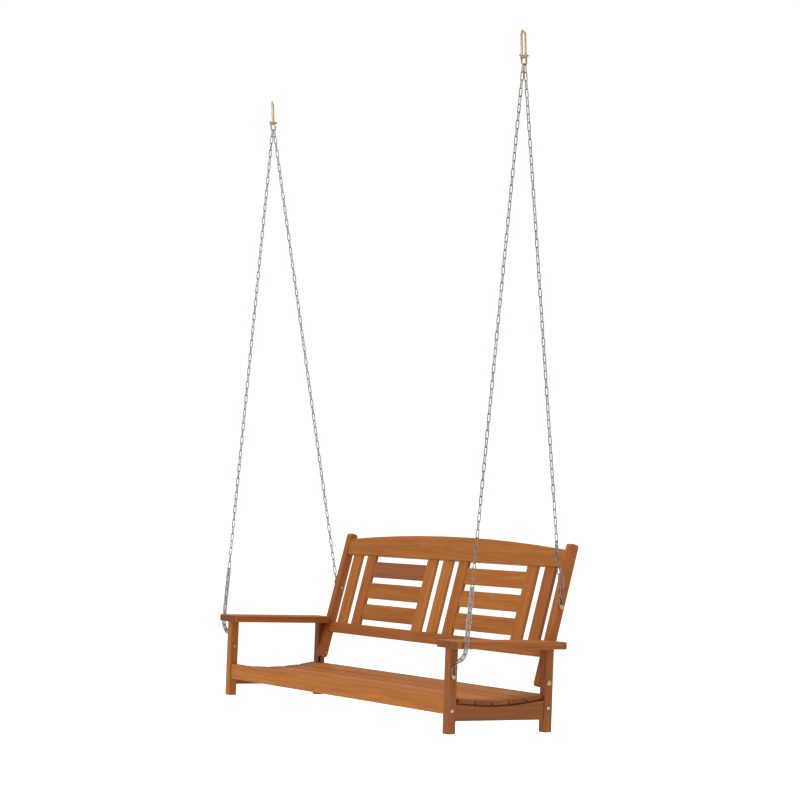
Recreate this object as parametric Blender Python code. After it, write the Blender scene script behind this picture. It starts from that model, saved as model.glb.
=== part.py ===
"""Hardwood porch swing: a slatted bench hung by four chains from two ceiling loops.

Metres, +Z up, +Y towards the back.  Left (-X) and right (+X) are as seen from the
front.  The origin is midway between the two hanging loops, on the line where the
ceiling hooks carry them.
"""
import math

import bmesh
import bpy
from mathutils import Matrix, Vector

# ---- overall sizes -------------------------------------------------------------
BENCH_WIDTH = 1.484        # over the outer faces of the posts
BENCH_DEPTH = 0.393        # front face of the front posts to back face of the rear posts
ARM_HEIGHT = 0.265         # foot of a post to the underside of the armrest
HANG_HEIGHT = 2.111        # foot of the posts to the swing axis, along the posts
HOOK_OUTSIDE = 0.078       # each ceiling hook beyond the outer face of the posts
BENCH_PITCH = math.radians(4.15)   # how far the hung bench leans back

# ---- fits ----------------------------------------------------------------------
GAP = 0.0003               # between two pieces that touch
BOLT_CLEARANCE = 0.0004    # radial, bolt in its hole
TENON_CLEARANCE = 0.0003   # all round a tenon
EASED_EDGE = 0.0015        # eased edges of the timber

# ---- frame timber --------------------------------------------------------------
POST = 0.030
RAIL_THICK = 0.022
TENON_LENGTH = 0.012
FRONT_RAIL_FORWARD = 0.003  # back of the front rail ahead of the posts' back
FRONT_RAIL_FOOT = 0.060
FRONT_RAIL_HEIGHT = 0.053
REAR_RAIL_SETBACK = 0.002
REAR_RAIL_FOOT = 0.048
REAR_RAIL_HEIGHT = 0.070
RAIL_SHOULDER = 0.010      # each edge of a seat rail above or below its tenon
SIDE_RAIL_FOOT = 0.040
SIDE_RAIL_INSET = 0.003
BEARER_FOOT = 0.064        # underside of the middle bearer, hidden by the front rail
SEAT_SLATS = 5
SEAT_SLAT_GAP = 0.007
SEAT_FRONT_GAP = 0.012     # front posts to the first slat
SEAT_BACK_GAP = 0.005      # last slat to the rear posts
SEAT_SLAT_THICK = 0.013
SEAT_DIP_Y = 0.165         # lowest point of the dished seat
SEAT_DIP_Z = 0.0885        # underside of the slats there
SEAT_REBATE = 0.005        # outer half of a side rail below the slats, a shadow line
SEAT_REBATE_WIDE = 0.011
SEAT_RADIUS = 0.96
SEAT_RELIEF = 0.002        # slat end back from the outer face of the side rail

# ---- armrests ------------------------------------------------------------------
ARM_THICK = 0.023
ARM_OUTER_OVERHANG = 0.056
ARM_INNER_OVERHANG = 0.043
ARM_FRONT_OVERHANG = 0.008
ARM_REAR_OVERHANG = 0.014
ARM_CORNER = 0.012

# ---- backrest, measured along its own slope from the level of the armrests ------
RECLINE = math.radians(14.1)
BACK_FORWARD = 0.006       # front of the stiles at armrest level, ahead of the posts' back
STILE_WIDE = 0.030
STILE_DEEP = 0.030
STILE_CORNER = 0.009       # rounding of a stile's two ends
STILE_BOLT_EDGE = 0.0132   # height of the bolt to the rear post over the foot of the stile
STILE_ABOVE = 0.345
CREST_FOOT = 0.266
CREST_END = 0.058          # height of the crest rail beside a stile
CREST_RISE = 0.026         # how much its arch rises at the middle
LOWER_RAIL_FOOT = -0.029
LOWER_RAIL_HEIGHT = 0.037
BACK_RAIL_THICK = 0.022
BACK_SLAT_WIDE = 0.058
BACK_SLAT_THICK = 0.013
BACK_SLAT_PITCH = 0.100    # centre to centre inside a group of slats
BACK_SHOULDER = 0.008      # each edge of a back rail or slat beside its tenon
BOARD_THICK = 0.009
BOARD_SHOULDER = 0.010
BOARD_GAP = 0.0215         # between the cross boards
BOARDS_PER_PANEL = 3

# ---- hardware ------------------------------------------------------------------
LOOP_WIRE = 0.0035
LOOP_HALF_WIDTH = 0.016
LOOP_LENGTH = 0.085        # along the wire's centre line, bend to bend
LOOP_TURN = {"left": math.radians(-24), "right": math.radians(-14)}    # about the vertical
SHACKLE_WIRE = 0.003
SHACKLE_PLAY = 0.0025      # loop's wire to each eye of the shackle
SHACKLE_REACH = 0.030      # pin centre to the wire's centre at the bow
SHACKLE_EYE = 0.0055
SHACKLE_EYE_WIDE = 0.006
SHACKLE_PIN = 0.0026
PIN_HEAD = 0.0045          # radius of the pin's collar
PIN_COLLAR = 0.0035        # its length
PIN_TAIL = 0.0055          # the thin end beyond the collar
PIN_TAIL_RADIUS = 0.0015
PIN_END = 0.004            # thread beyond the other eye
PIN_SEAT_GAP = 0.0010      # pin over the loop's wire, so that it can rock
CHAIN_BAR = 0.00245        # solid bar with the mass of the 3 mm long-link chain
CHAIN_SPREAD = 0.0035      # each top link off the middle of the shackle
CHAIN_BEND = 0.020         # length over which a chain turns the armrest's edge
SLEEVE_OUTER = 0.0077
SLEEVE_WALL = 0.0012
SLEEVE_ABOVE = 0.215       # sleeve above the armrest's underside, along the chain
SLEEVE_BELOW = 0.034
RING_WIRE = 0.002
RING_HALF_WIDTH = 0.006
RING_LENGTH = 0.022        # between the centres of its two bends
BOLT_RADIUS = 0.003
BOLT_HEAD_RADIUS = 0.0085
BOLT_HEAD_HEIGHT = 0.0035
NUT_FLATS = 0.010
NUT_HEIGHT = 0.005
THREAD_OUT = 0.003         # bolt end beyond its nut
FRONT_HANGER_DOWN = 0.088  # hanger bolts on the front posts, below the armrests
REAR_HANGER_UP = 0.139     # hanger bolts on the stiles, above the armrest level
STILE_BOLT_OVER = 0.039    # bolts through rear post and stile, above the rear rail
CUT_OVERRUN = 0.010        # how far a cutter runs past the face that it opens

# ---- sizes that follow ---------------------------------------------------------
HALF = BENCH_WIDTH / 2
HOOK_SPACING = BENCH_WIDTH + 2 * HOOK_OUTSIDE
INNER = HALF - POST                        # inner faces of the posts
REAR_POST_Y = BENCH_DEPTH - POST
STILE_OUTER = INNER - GAP
STILE_INNER = STILE_OUTER - STILE_WIDE
ARM_OUTER = HALF + ARM_OUTER_OVERHANG
FRONT_RAIL_BACK = POST - FRONT_RAIL_FORWARD
FRONT_RAIL_FRONT = FRONT_RAIL_BACK - RAIL_THICK
REAR_RAIL_FRONT = REAR_POST_Y + REAR_RAIL_SETBACK
FRONT_HANGER_UP = ARM_HEIGHT - FRONT_HANGER_DOWN           # above the feet of the posts
STILE_BOLT_UP = REAR_RAIL_FOOT + REAR_RAIL_HEIGHT + STILE_BOLT_OVER
STILE_BELOW = (ARM_HEIGHT - STILE_BOLT_UP + STILE_BOLT_EDGE) / math.cos(RECLINE)
BACK_SETBACK = BENCH_DEPTH - BACK_FORWARD                  # front of the stiles at armrest level
LOWER_RAIL_TOP = LOWER_RAIL_FOOT + LOWER_RAIL_HEIGHT
BACK_SLAT_MIDDLE = (CREST_FOOT + LOWER_RAIL_TOP) / 2
RING_SEAT = RING_HALF_WIDTH - BOLT_RADIUS - RING_WIRE - GAP    # bolt to the lower bend's centre
RING_TOP = RING_SEAT + RING_LENGTH + RING_HALF_WIDTH + RING_WIRE + GAP + CHAIN_BAR
SHACKLE_HALF_WIDTH = LOOP_WIRE + SHACKLE_PLAY + SHACKLE_EYE_WIDE / 2
SWING_AXIS_DROP = LOOP_LENGTH - LOOP_WIRE  # hanging line to the swing axis
PIN_UP = LOOP_WIRE + SHACKLE_PIN + PIN_SEAT_GAP                # swing axis to the shackle pins
BOW_LOW = PIN_UP - SHACKLE_REACH - SHACKLE_WIRE - GAP          # top of the chains
REAR_BOLT = (STILE_DEEP / 2, REAR_HANGER_UP)                   # in the backrest's frame
BACK_RAIL_FRONT = (STILE_DEEP - BACK_RAIL_THICK) / 2
BACK_SLAT_FRONT = (STILE_DEEP - BACK_SLAT_THICK) / 2
BOARD_FRONT = (STILE_DEEP - BOARD_THICK) / 2
BACK_RAIL_REACH = STILE_INNER - GAP
SIDES = {"left": -1, "right": 1}

WOODS = {
    "oiled": (0.42, 0.17, 0.055), "warm": (0.48, 0.20, 0.065), "dark": (0.34, 0.13, 0.045),
}
METALS = {"yellow_zinc": (0.62, 0.52, 0.27), "bright_zinc": (0.62, 0.62, 0.64)}
CLEAR_PLASTIC = (0.80, 0.84, 0.88)


# ---- helpers -------------------------------------------------------------------
def clear_scene():
    for item in list(bpy.data.objects):
        bpy.data.objects.remove(item, do_unlink=True)


def make_material(name, color, roughness, metallic=0.0):
    material = bpy.data.materials.new(name)
    material.use_nodes = True
    shader = material.node_tree.nodes["Principled BSDF"]
    shader.inputs["Base Color"].default_value = (*color, 1.0)
    shader.inputs["Roughness"].default_value = roughness
    shader.inputs["Metallic"].default_value = metallic
    material.diffuse_color = (*color, 1.0)
    return material


def wood(name, tone="oiled"):
    return make_material(name, WOODS[tone], 0.55)


def metal(name, tone="bright_zinc"):
    return make_material(name, METALS[tone], 0.35, 1.0)


def make_empty(name, location, tilt, parent=None):
    """A guide frame, tilted about X."""
    empty = bpy.data.objects.new(name, None)
    bpy.context.collection.objects.link(empty)
    empty.parent = parent
    empty.location = location
    empty.rotation_euler = (tilt, 0, 0)
    return empty


def link_mesh(name, bm, parent, material=None):
    bmesh.ops.recalc_face_normals(bm, faces=bm.faces)
    mesh = bpy.data.meshes.new(name)
    bm.to_mesh(mesh)
    bm.free()
    obj = bpy.data.objects.new(name, mesh)
    bpy.context.collection.objects.link(obj)
    obj.parent = parent
    if material:
        mesh.materials.append(material)
    return obj


def mark_edges(bm):
    """Mark the outward corners, so that easing them leaves inner corners square."""
    bmesh.ops.recalc_face_normals(bm, faces=bm.faces)
    weight = bm.edges.layers.float.new("bevel_weight_edge")
    for edge in bm.edges:
        sharp = edge.calc_face_angle(0.0) > math.radians(35)
        edge[weight] = 1.0 if sharp and edge.is_convex else 0.0


def ease_edges(obj, width=EASED_EDGE):
    bevel = obj.modifiers.new("eased edges", "BEVEL")
    bevel.width = width
    bevel.segments = 1
    bevel.limit_method = "WEIGHT"


def extruded(bm, outline, low, high, axes):
    """Add a prism: an outline in two axes, extruded from low to high along the third."""
    first, second, third = axes

    def corner(point, depth):
        spot = [0.0, 0.0, 0.0]
        spot[first], spot[second], spot[third] = point[0], point[1], depth
        return bm.verts.new(spot)

    bottom = [corner(point, low) for point in outline]
    top = [corner(point, high) for point in outline]
    bm.faces.new(bottom)
    bm.faces.new(reversed(top))
    for index in range(len(outline)):
        after = (index + 1) % len(outline)
        bm.faces.new((bottom[index], top[index], top[after], bottom[after]))


FLAT_XY = (0, 1, 2)        # outline in plan, thickness upwards
FLAT_XZ = (0, 2, 1)        # outline seen from the front, thickness backwards
FLAT_YZ = (1, 2, 0)        # outline seen from the side, thickness sideways


def plate(name, outline, low, high, axes, parent, material):
    bm = bmesh.new()
    extruded(bm, outline, low, high, axes)
    mark_edges(bm)
    obj = link_mesh(name, bm, parent, material)
    ease_edges(obj)
    return obj


def rectangle(x_low, x_high, z_low, z_high):
    return [(x_low, z_low), (x_high, z_low), (x_high, z_high), (x_low, z_high)]


def rounded(outline, radii, steps=4):
    """Round the corners of an outline; radii gives one radius per corner, 0 keeps it sharp."""
    points = []
    for index, radius in enumerate(radii):
        here = Vector(outline[index])
        if radius == 0:
            points.append(tuple(here))
            continue
        before = (Vector(outline[index - 1]) - here).normalized()
        after = (Vector(outline[(index + 1) % len(outline)]) - here).normalized()
        half_angle = before.angle(after) / 2
        middle = here + (before + after).normalized() * radius / math.sin(half_angle)
        start = here + before * radius / math.tan(half_angle) - middle
        turn = start.angle_signed(here + after * radius / math.tan(half_angle) - middle)
        for step in range(steps + 1):
            spoke = start.copy()
            spoke.rotate(Matrix.Rotation(-turn * step / steps, 2))
            points.append(tuple(middle + spoke))
    return points


def tenoned(length, width, shoulder):
    """Outline of a rail along X with a narrower tenon at each end."""
    half, inner = length / 2, width / 2 - shoulder
    tip = half + TENON_LENGTH
    return [(-half, -width / 2), (half, -width / 2), (half, -inner), (tip, -inner),
            (tip, inner), (half, inner), (half, width / 2), (-half, width / 2),
            (-half, inner), (-tip, inner), (-tip, -inner), (-half, -inner)]


def combine(host, shapes, name, operation):
    """Boolean the closed shapes of one bmesh with a host, in the host's own frame."""
    cutter = link_mesh(name, shapes, host.parent)
    cutter.location = host.location
    cutter.rotation_euler = host.rotation_euler
    cutter.hide_render = True
    cutter.display_type = "WIRE"
    cut = host.modifiers.new(name, "BOOLEAN")
    cut.operation = operation
    cut.solver = "EXACT"
    cut.object = cutter


def subtract(host, shapes, name):
    combine(host, shapes, name, "DIFFERENCE")


def add_box(bm, low, high):
    size = Vector(high) - Vector(low)
    middle = (Vector(high) + Vector(low)) / 2
    bmesh.ops.create_cube(bm, size=1, matrix=Matrix.Translation(middle) @ Matrix.Diagonal((*size, 1)))


def add_cylinder_x(bm, x_low, x_high, y, z, radius, sides=16):
    turn = Matrix.Rotation(math.radians(90), 4, "Y")
    place = Matrix.Translation(((x_low + x_high) / 2, y, z))
    bmesh.ops.create_cone(bm, cap_ends=True, segments=sides, radius1=radius, radius2=radius,
                          depth=abs(x_high - x_low), matrix=place @ turn)


def circle(bm, middle, across, other, sides):
    """A ring of vertices round middle; across and other are two square radii."""
    angles = [2 * math.pi * step / sides for step in range(sides)]
    return [bm.verts.new(middle + across * math.cos(angle) + other * math.sin(angle))
            for angle in angles]


def swept_bmesh(points, radius, cyclic=False, sides=8):
    """A round bar along a list of points, its section carried without twist."""
    bm = bmesh.new()
    points = [Vector(point) for point in points]
    count = len(points)
    directions = []
    for index in range(count):
        before = points[(index - 1) % count] if cyclic or index else points[0]
        after = points[(index + 1) % count] if cyclic or index < count - 1 else points[-1]
        directions.append((after - before).normalized())
    side = directions[0].orthogonal().normalized()
    rings = []
    for index, (point, along) in enumerate(zip(points, directions)):
        if index:
            side = directions[index - 1].rotation_difference(along) @ side
        rings.append(circle(bm, point, side * radius, along.cross(side) * radius, sides))
    skin(bm, rings + ([rings[0]] if cyclic else []))
    if not cyclic:
        bm.faces.new(rings[0])
        bm.faces.new(rings[-1])
    return bm


def skin(bm, rings):
    """Faces between each ring of vertices and the next."""
    for near, far in zip(rings, rings[1:]):
        for step in range(len(near)):
            after = (step + 1) % len(near)
            bm.faces.new((near[step], near[after], far[after], far[step]))


def swept(name, points, radius, parent, material, cyclic=False, sides=8):
    return link_mesh(name, swept_bmesh(points, radius, cyclic, sides), parent, material)


def oval(half_width, straight, steps=8):
    """Centre line of a long link in a plane: (across, along), lower bend first."""
    points = []
    for end, start in ((0.0, math.pi), (straight, 0.0)):
        for step in range(steps + 1):
            angle = start + math.pi * step / steps
            points.append((half_width * math.cos(angle), end + half_width * math.sin(angle)))
    return points


def turned(name, profile, axis_point, sign, parent, material, sides=16):
    """A solid turned about X: profile is (distance outwards along X, radius)."""
    bm = bmesh.new()
    rings = []
    for out, radius in profile:
        middle = Vector(axis_point) + Vector((sign * out, 0, 0))
        rings.append(circle(bm, middle, Vector((0, radius, 0)), Vector((0, 0, radius)), sides))
    skin(bm, rings)
    bm.faces.new(rings[0])
    bm.faces.new(rings[-1])
    return link_mesh(name, bm, parent, material)


# ---- seat ----------------------------------------------------------------------
def seat_slats_along_y():
    """Front and back edge of each seat slat."""
    first = POST + SEAT_FRONT_GAP
    room = REAR_POST_Y - SEAT_BACK_GAP - first
    width = (room - (SEAT_SLATS - 1) * SEAT_SLAT_GAP) / SEAT_SLATS
    pitch = width + SEAT_SLAT_GAP
    return [(first + index * pitch, first + index * pitch + width) for index in range(SEAT_SLATS)]


def seat_line(y):
    """Height and slope of the dished seat at y."""
    return SEAT_DIP_Z + (y - SEAT_DIP_Y) ** 2 / (2 * SEAT_RADIUS), (y - SEAT_DIP_Y) / SEAT_RADIUS


def bearer_top(y_low, y_high):
    """Upper edge of a rail that carries the slats, front to back: one flat for each slat."""
    top = []
    for front, back in seat_slats_along_y():
        height, slope = seat_line((front + back) / 2)
        reach = (back - front + SEAT_SLAT_GAP) / 2 - GAP
        middle = (front + back) / 2
        top += [(middle - reach, height - slope * reach), (middle + reach, height + slope * reach)]
    top[0] = (y_low, top[0][1])
    top[-1] = (y_high, top[-1][1])
    return top


def bearer_outline(y_low, y_high, foot):
    """Side view of such a rail, level below."""
    return [(y_low, foot), (y_high, foot)] + bearer_top(y_low, y_high)[::-1]


def cut_rebate(rail, side, outer, sign):
    """Lower the outer half of a side rail's top, so that the slats throw a shadow on it."""
    line = bearer_top(POST - CUT_OVERRUN, REAR_POST_Y + CUT_OVERRUN)
    lowered = [(y, z - SEAT_REBATE) for y, z in line]
    raised = [(y, z + CUT_OVERRUN) for y, z in line[::-1]]
    cuts = bmesh.new()
    xs = sorted((sign * (outer - SEAT_REBATE_WIDE), sign * (outer + CUT_OVERRUN)))
    extruded(cuts, lowered + raised, *xs, FLAT_YZ)
    subtract(rail, cuts, f"cut_side_rail_{side}")


def build_seat(bench):
    nodes = []
    for side, sign in SIDES.items():
        outer = HALF - SIDE_RAIL_INSET
        ends = sorted((sign * outer, sign * (outer - RAIL_THICK)))
        outline = bearer_outline(POST + GAP, REAR_POST_Y - GAP, SIDE_RAIL_FOOT)
        rail = plate(f"side_rail_{side}", outline, *ends, FLAT_YZ, bench,
                     wood(f"side_rail_{side}", "oiled"))
        cut_rebate(rail, side, outer, sign)
        nodes.append(rail)
    outline = bearer_outline(FRONT_RAIL_BACK + GAP, REAR_RAIL_FRONT - GAP, BEARER_FOOT)
    nodes.append(plate("centre_bearer", outline, -RAIL_THICK / 2, RAIL_THICK / 2, FLAT_YZ, bench,
                       wood("centre_bearer", "dark")))
    for index, (front, back) in enumerate(seat_slats_along_y()):
        middle = (front + back) / 2
        height, slope = seat_line(middle)
        reach = HALF - SIDE_RAIL_INSET - SEAT_RELIEF
        half = (back - front) / 2
        slat = plate(f"seat_slat_{index + 1}", rectangle(-reach, reach, -half, half),
                     GAP, SEAT_SLAT_THICK, FLAT_XY, bench, wood(f"seat_slat_{index + 1}", "warm"))
        slat.location = (0, middle, height)
        slat.rotation_euler = (math.atan(slope), 0, 0)
        nodes.append(slat)
    for name, front, foot, height in (
            ("front_rail", FRONT_RAIL_FRONT, FRONT_RAIL_FOOT, FRONT_RAIL_HEIGHT),
            ("rear_rail", REAR_RAIL_FRONT, REAR_RAIL_FOOT, REAR_RAIL_HEIGHT)):
        outline = tenoned(2 * (INNER - GAP), height, RAIL_SHOULDER)
        rail = plate(name, outline, 0, RAIL_THICK, FLAT_XZ, bench, wood(name, "oiled"))
        rail.location = (0, front, foot + height / 2)
        nodes.append(rail)
    return nodes


# ---- posts and armrests --------------------------------------------------------
def build_posts(bench):
    places = {
        "front": (0.0, FRONT_RAIL_FRONT, FRONT_RAIL_FOOT, FRONT_RAIL_HEIGHT, FRONT_HANGER_UP),
        "rear": (REAR_POST_Y, REAR_RAIL_FRONT, REAR_RAIL_FOOT, REAR_RAIL_HEIGHT, STILE_BOLT_UP),
    }
    nodes = []
    slack = TENON_CLEARANCE
    mortise_bottom = INNER + TENON_LENGTH + slack
    for side, sign in SIDES.items():
        xs = sorted((sign * INNER, sign * HALF))
        mortise_xs = sorted((sign * (INNER - CUT_OVERRUN), sign * mortise_bottom))
        for place, (front, rail_front, foot, height, bolt_z) in places.items():
            name = f"post_{place}_{side}"
            section = rectangle(xs[0], xs[1], front, front + POST)
            post = plate(name, section, 0, ARM_HEIGHT - GAP, FLAT_XY, bench, wood(name, "oiled"))
            cuts = bmesh.new()
            low = foot + RAIL_SHOULDER - slack
            high = foot + height - RAIL_SHOULDER + slack
            add_box(cuts, (mortise_xs[0], rail_front - slack, low),
                    (mortise_xs[1], rail_front + RAIL_THICK + slack, high))
            add_cylinder_x(cuts, sign * (INNER - CUT_OVERRUN), sign * (HALF + CUT_OVERRUN),
                           front + POST / 2, bolt_z, BOLT_RADIUS + BOLT_CLEARANCE)
            subtract(post, cuts, f"cut_{name}")
            nodes.append(post)
    return nodes


def build_armrests(bench):
    nodes = []
    front, rear = -ARM_FRONT_OVERHANG, BENCH_DEPTH + ARM_REAR_OVERHANG
    notch_y = BACK_SETBACK - 2 * GAP
    for side, sign in SIDES.items():
        inner = INNER - ARM_INNER_OVERHANG
        notch_x = STILE_OUTER + GAP
        outline = [(ARM_OUTER, front), (ARM_OUTER, rear), (notch_x, rear), (notch_x, notch_y),
                   (inner, notch_y), (inner, front)]
        radii = [ARM_CORNER, ARM_CORNER, 0, 0, ARM_CORNER / 2, ARM_CORNER]
        outline = [(sign * x, y) for x, y in rounded(outline, radii)]
        arm = plate(f"armrest_{side}", outline, ARM_HEIGHT, ARM_HEIGHT + ARM_THICK, FLAT_XY, bench,
                    wood(f"armrest_{side}", "warm"))
        nodes.append(arm)
    return nodes


# ---- backrest ------------------------------------------------------------------
def back_slat_centres():
    """Slats in a pair beside each stile and three round the middle."""
    near = STILE_INNER - (BACK_SLAT_PITCH - BACK_SLAT_WIDE) - BACK_SLAT_WIDE / 2
    half_row = [near, near - BACK_SLAT_PITCH, BACK_SLAT_PITCH]
    return [-x for x in half_row] + [0.0] + half_row[::-1]


def board_feet():
    """Foot of each cross board between the lower rail and the crest rail."""
    room = CREST_FOOT - LOWER_RAIL_TOP
    height = (room - (BOARDS_PER_PANEL + 1) * BOARD_GAP) / BOARDS_PER_PANEL
    feet = [LOWER_RAIL_TOP + BOARD_GAP + index * (height + BOARD_GAP)
            for index in range(BOARDS_PER_PANEL)]
    return feet, height


def build_back_rails(back):
    """Lower rail and arched crest rail, tenoned into the stiles."""
    reach = BACK_RAIL_REACH
    rail_back = BACK_RAIL_FRONT + BACK_RAIL_THICK
    outline = tenoned(2 * reach, LOWER_RAIL_HEIGHT, BACK_SHOULDER)
    lower = plate("back_lower_rail", outline, BACK_RAIL_FRONT, rail_back, FLAT_XZ, back,
                  wood("back_lower_rail", "oiled"))
    lower.location = (0, 0, LOWER_RAIL_FOOT + LOWER_RAIL_HEIGHT / 2)

    arch_steps = 24
    arch = []
    for step in range(arch_steps + 1):
        x = reach * (1 - 2 * step / arch_steps)
        arch.append((x, CREST_END + CREST_RISE * (1 - (x / reach) ** 2)))
    tip = reach + TENON_LENGTH
    low, high = BACK_SHOULDER, CREST_END - BACK_SHOULDER
    outline = [(-reach, 0), (reach, 0), (reach, low), (tip, low), (tip, high), (reach, high)]
    outline += arch
    outline += [(-reach, high), (-tip, high), (-tip, low), (-reach, low)]
    crest = plate("crest_rail", outline, BACK_RAIL_FRONT, rail_back, FLAT_XZ, back,
                  wood("crest_rail", "warm"))
    crest.location = (0, 0, CREST_FOOT)
    return lower, crest


def build_stiles(back):
    """Stiles rounded at both ends, with mortises for the rails and holes for two bolts."""
    nodes = []
    slack = TENON_CLEARANCE
    mortise_bottom = BACK_RAIL_REACH + TENON_LENGTH + slack
    tenons = ((LOWER_RAIL_FOOT + BACK_SHOULDER, LOWER_RAIL_TOP - BACK_SHOULDER),
              (CREST_FOOT + BACK_SHOULDER, CREST_FOOT + CREST_END - BACK_SHOULDER))
    for side, sign in SIDES.items():
        outline = rounded(rectangle(0, STILE_DEEP, -STILE_BELOW, STILE_ABOVE), [STILE_CORNER] * 4)
        xs = sorted((sign * STILE_OUTER, sign * STILE_INNER))
        stile = plate(f"stile_{side}", outline, *xs, FLAT_YZ, back, wood(f"stile_{side}", "oiled"))
        cuts = bmesh.new()
        mortise_xs = sorted((sign * (STILE_INNER - CUT_OVERRUN), sign * mortise_bottom))
        for low, high in tenons:
            add_box(cuts, (mortise_xs[0], BACK_RAIL_FRONT - slack, low - slack),
                    (mortise_xs[1], BACK_RAIL_FRONT + BACK_RAIL_THICK + slack, high + slack))
        for bolt_y, bolt_z in (REAR_BOLT, stile_bolt_on_back()):
            add_cylinder_x(cuts, sign * (STILE_INNER - CUT_OVERRUN), sign * (STILE_OUTER + CUT_OVERRUN),
                           bolt_y, bolt_z, BOLT_RADIUS + BOLT_CLEARANCE)
        subtract(stile, cuts, f"cut_stile_{side}")
        nodes.append(stile)
    return nodes


def build_back_slats(back, lower, crest):
    """Upright slats with tenons in both rails."""
    slats = []
    slack = TENON_CLEARANCE
    length = CREST_FOOT - LOWER_RAIL_TOP - 2 * GAP
    half_mortise = BACK_SLAT_WIDE / 2 - BACK_SHOULDER + slack
    front, rear = BACK_SLAT_FRONT, BACK_SLAT_FRONT + BACK_SLAT_THICK
    depth = TENON_LENGTH + slack
    lower_cuts, crest_cuts = bmesh.new(), bmesh.new()
    for index, x in enumerate(back_slat_centres()):
        name = f"back_slat_{index + 1}"
        lengthwise = tenoned(length, BACK_SLAT_WIDE, BACK_SHOULDER)
        upright = [(across, along) for along, across in lengthwise]
        slat = plate(name, upright, front, rear, FLAT_XZ, back, wood(name, "oiled"))
        slat.location = (x, 0, BACK_SLAT_MIDDLE)
        slats.append(slat)
        add_box(lower_cuts, (x - half_mortise, front - slack, LOWER_RAIL_HEIGHT / 2 - depth),
                (x + half_mortise, rear + slack, LOWER_RAIL_HEIGHT / 2 + CUT_OVERRUN))
        add_box(crest_cuts, (x - half_mortise, front - slack, -CUT_OVERRUN),
                (x + half_mortise, rear + slack, depth))
    subtract(lower, lower_cuts, "cut_back_lower_rail")
    subtract(crest, crest_cuts, "cut_crest_rail")
    return slats


def build_back_boards(back, slats):
    """Cross boards between the second and third slat of each half, tenoned into both."""
    nodes = []
    slack = TENON_CLEARANCE
    feet, height = board_feet()
    centres = back_slat_centres()
    edge = BACK_SLAT_WIDE / 2
    rear = BOARD_FRONT + BOARD_THICK
    for side, left, right, tone in (("left", 1, 2, "dark"), ("right", 4, 5, "warm")):
        x_low = centres[left] + edge + GAP
        x_high = centres[right] - edge - GAP
        left_cuts, right_cuts = bmesh.new(), bmesh.new()
        for index, foot in enumerate(feet):
            name = f"back_board_{side}_{index + 1}"
            outline = tenoned(x_high - x_low, height, BOARD_SHOULDER)
            board = plate(name, outline, BOARD_FRONT, rear, FLAT_XZ, back, wood(name, tone))
            board.location = ((x_low + x_high) / 2, 0, foot + height / 2)
            nodes.append(board)
            low = foot + BOARD_SHOULDER - BACK_SLAT_MIDDLE - slack
            high = foot + height - BOARD_SHOULDER - BACK_SLAT_MIDDLE + slack
            for cuts, inner, outer in ((left_cuts, edge - TENON_LENGTH - slack, edge + CUT_OVERRUN),
                                       (right_cuts, -edge - CUT_OVERRUN, -edge + TENON_LENGTH + slack)):
                add_box(cuts, (inner, BOARD_FRONT - slack, low), (outer, rear + slack, high))
        subtract(slats[left], left_cuts, f"cut_back_slat_{left + 1}")
        subtract(slats[right], right_cuts, f"cut_back_slat_{right + 1}")
    return nodes


def build_back(back):
    lower, crest = build_back_rails(back)
    slats = build_back_slats(back, lower, crest)
    return [lower, crest] + build_stiles(back) + slats + build_back_boards(back, slats)


def stile_bolt_on_back():
    """The bolt through rear post and stile, in the backrest's own (depth, along) axes."""
    y = REAR_POST_Y + POST / 2 - BACK_SETBACK
    z = STILE_BOLT_UP - ARM_HEIGHT
    return (y * math.cos(RECLINE) - z * math.sin(RECLINE), y * math.sin(RECLINE) + z * math.cos(RECLINE))


# ---- fasteners and chain hardware ----------------------------------------------
def build_bolt(name, head_face, end_face, sign, spot, parent, tone, overrun):
    """A round-headed bolt along X: head on head_face, end overrun past end_face."""
    length = head_face - end_face + overrun
    top = GAP + BOLT_HEAD_HEIGHT
    profile = [(-length, BOLT_RADIUS), (GAP, BOLT_RADIUS), (GAP, BOLT_HEAD_RADIUS),
               (GAP + BOLT_HEAD_HEIGHT * 0.35, BOLT_HEAD_RADIUS),
               (GAP + BOLT_HEAD_HEIGHT * 0.8, BOLT_HEAD_RADIUS * 0.7), (top, BOLT_HEAD_RADIUS * 0.3)]
    return turned(name, profile, (sign * head_face, *spot), sign, parent, metal(name, tone))


def build_nut(name, face, sign, spot, parent):
    """A hexagon nut on the inner side of a post or stile, its inner face on face."""
    bm = bmesh.new()
    radius = NUT_FLATS / math.sqrt(3)
    add_cylinder_x(bm, sign * (face - GAP), sign * (face - GAP - NUT_HEIGHT), *spot, radius, 6)
    nut = link_mesh(name, bm, parent, metal(name, "bright_zinc"))
    hole = bmesh.new()
    add_cylinder_x(hole, sign * (face + CUT_OVERRUN), sign * (face - NUT_HEIGHT - CUT_OVERRUN), *spot,
                   BOLT_RADIUS + BOLT_CLEARANCE)
    subtract(nut, hole, f"cut_{name}")
    return nut


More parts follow.
